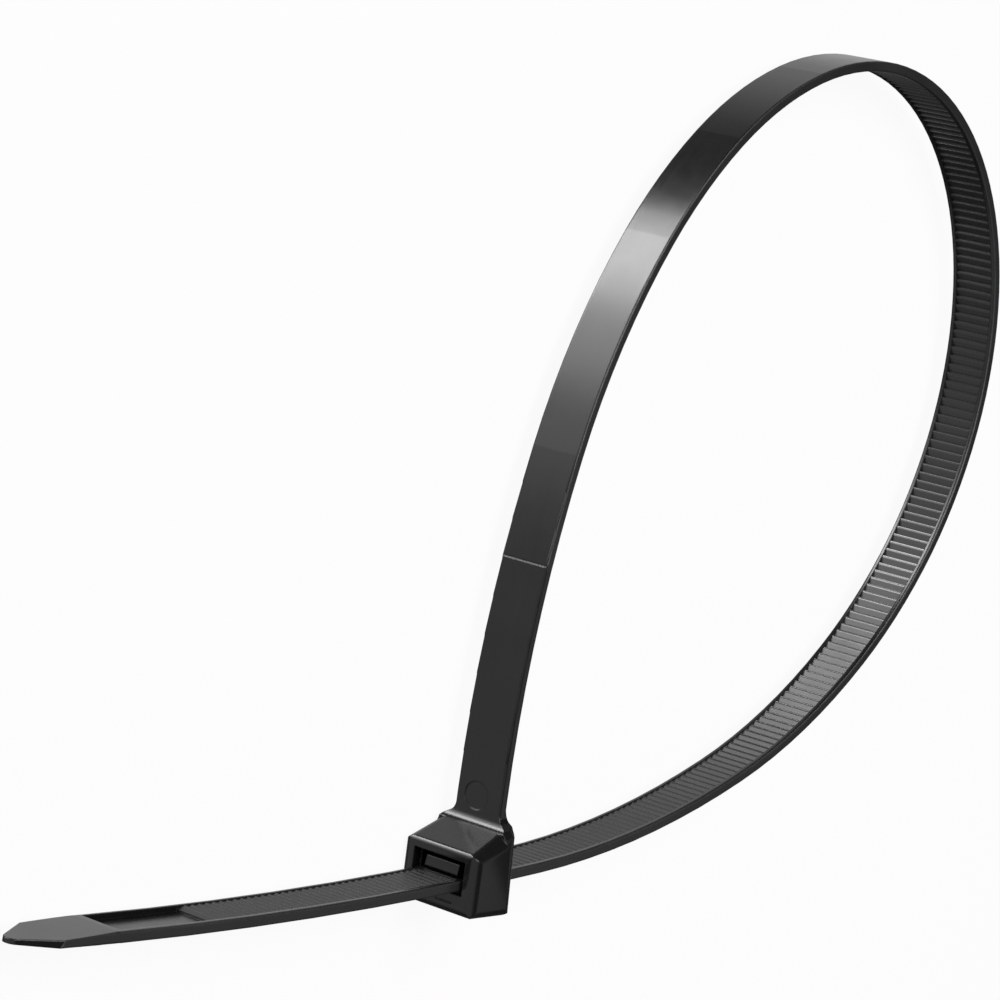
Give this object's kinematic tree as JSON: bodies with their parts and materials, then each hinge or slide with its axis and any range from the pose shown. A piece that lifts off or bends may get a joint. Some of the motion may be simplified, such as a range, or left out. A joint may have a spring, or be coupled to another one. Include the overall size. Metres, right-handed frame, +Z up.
{
  "type": "cable tie",
  "caption": "Closed one-piece cable tie: a flat toothed strap looped round and passed through the slotted head on its own neck, with a long tapered tail.",
  "frame": {"origin": "on the head's resting side, where the strap's line through the slot crosses the neck's centre line", "axes": "+X along the slot against the way the tail comes out, +Y up the neck away from the head's end, +Z up across the strap's width"},
  "size_m": [0.2009, 0.1159, 0.0127],
  "materials": {
    "nylon": "satin"
  },
  "bodies": {
    "root": {"cable_tie": "nylon"}
  },
  "joints": []
}
